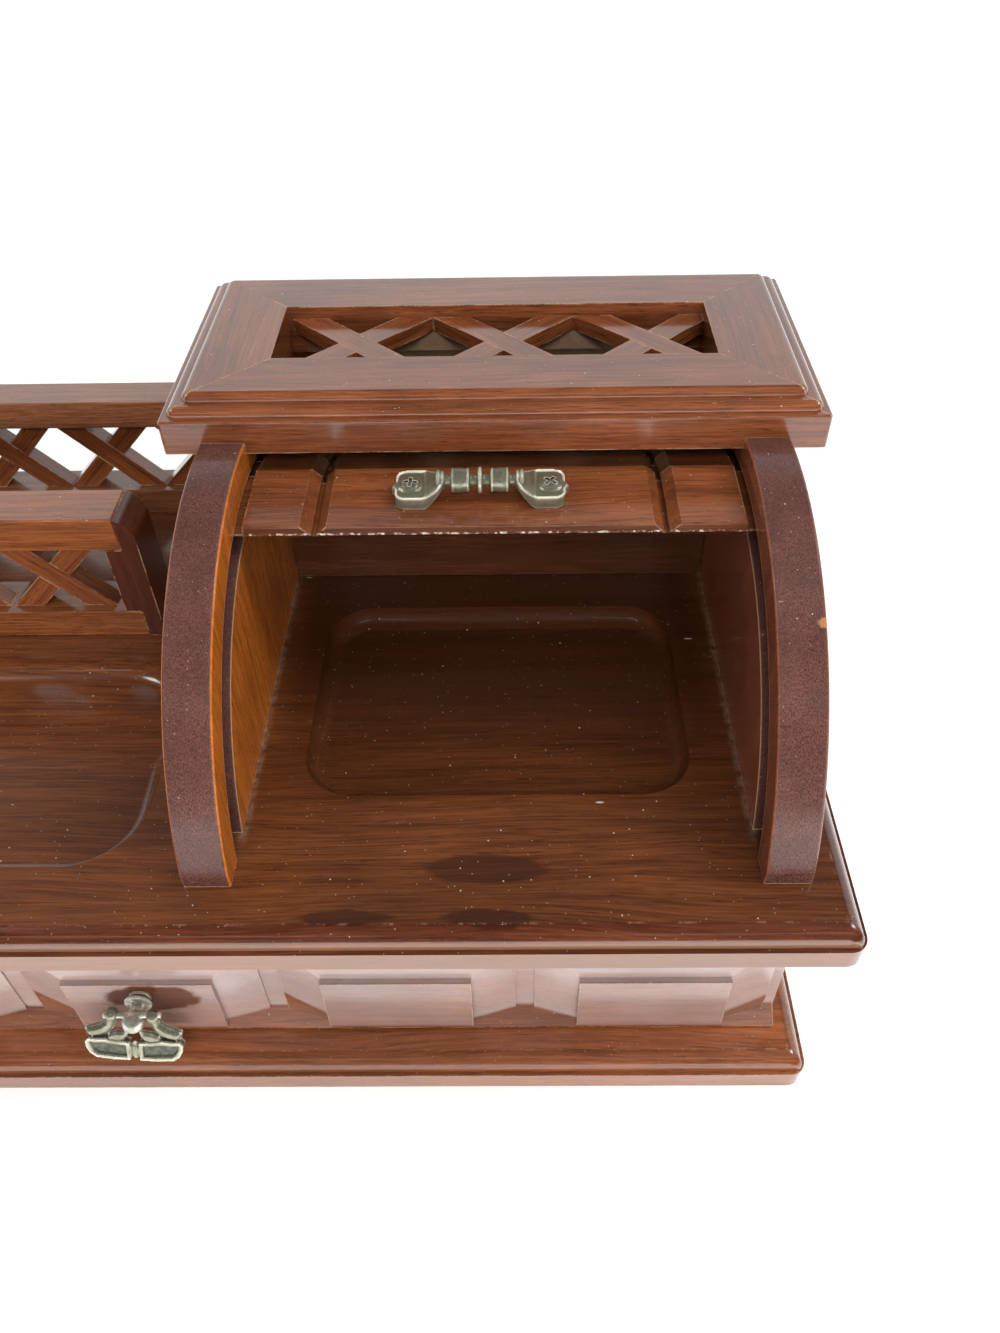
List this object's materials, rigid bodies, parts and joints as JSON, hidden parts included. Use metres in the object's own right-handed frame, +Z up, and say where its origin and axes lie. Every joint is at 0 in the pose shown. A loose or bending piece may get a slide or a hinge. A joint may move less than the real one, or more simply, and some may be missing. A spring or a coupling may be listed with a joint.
{
  "type": "dresser valet",
  "caption": "Wooden dresser valet with a drawer, a coved tray, a lattice letter rack and gallery, and a tambour roll-top compartment under a lattice lid.",
  "frame": {"origin": "centre of the underside of the plinth", "axes": "+X along the width to the roll-top's end, +Y to the back, +Z up"},
  "size_m": [0.403, 0.2014, 0.172],
  "materials": {
    "stained_wood": "glossy reddish-brown stain",
    "plain_wood": "thin satin stain",
    "aged_metal": "nickel-plated casting with an aged patina",
    "screw_steel": "satin",
    "canvas": "woven cotton"
  },
  "bodies": {
    "case": {"cabinet_back": "stained_wood", "cap_back_rail": "stained_wood", "cap_front_rail": "stained_wood", "cap_left_stile": "stained_wood", "cap_right_stile": "stained_wood", "cap_strip_1a": "stained_wood", "cap_strip_1b": "stained_wood", "cap_strip_2a": "stained_wood", "cap_strip_2b": "stained_wood", "cap_strip_3a": "stained_wood", "cap_strip_3b": "stained_wood", "case_back": "stained_wood", "case_rail": "stained_wood", "case_side_left": "stained_wood", "case_side_right": "stained_wood", "deck_board": "stained_wood", "drawer_runner_left": "plain_wood", "drawer_runner_right": "plain_wood", "end_panel_left": "stained_wood", "end_panel_right": "stained_wood", "false_back": "stained_wood", "gallery_end": "stained_wood", "gallery_lattice_falling": "stained_wood", "gallery_lattice_rising": "stained_wood", "gallery_low_rail": "stained_wood", "gallery_top_rail": "stained_wood", "plinth_board": "stained_wood", "rack_end_left": "stained_wood", "rack_end_right": "stained_wood", "rack_lattice_falling": "stained_wood", "rack_lattice_rising": "stained_wood", "rack_low_rail": "stained_wood", "rack_top_rail": "stained_wood"},
    "tambour": {"lead_slat": "stained_wood", "slat_1": "stained_wood", "slat_2": "stained_wood", "slat_3": "stained_wood", "slat_4": "stained_wood", "slat_5": "stained_wood", "slat_6": "stained_wood", "slat_7": "stained_wood", "tambour_canvas": "canvas", "tambour_handle": "aged_metal", "handle_screws": "screw_steel"},
    "drawer": {"drawer_front": "stained_wood", "drawer_side_left": "plain_wood", "drawer_side_right": "plain_wood", "drawer_back": "plain_wood", "drawer_bottom": "plain_wood", "pull_post": "aged_metal", "pull_screw": "screw_steel"},
    "pull": {"pull_pendant": "aged_metal"}
  },
  "joints": [
    {"name": "tambour_roll", "type": "hinge", "parent": "case", "child": "tambour", "pos_m": [0.1067, 0.0035, 0.0715], "axis": [1, 0, 0], "range_deg": [0, 66]},
    {"name": "drawer_slide", "type": "slide", "parent": "case", "child": "drawer", "axis": [0, -1, 0], "range_m": [0, 0.11]},
    {"name": "drawer_pull_swing", "type": "hinge", "parent": "drawer", "child": "pull", "pos_m": [0, -0.0938, 0.0368], "axis": [-1, 0, 0], "range_deg": [-20, 70]}
  ]
}
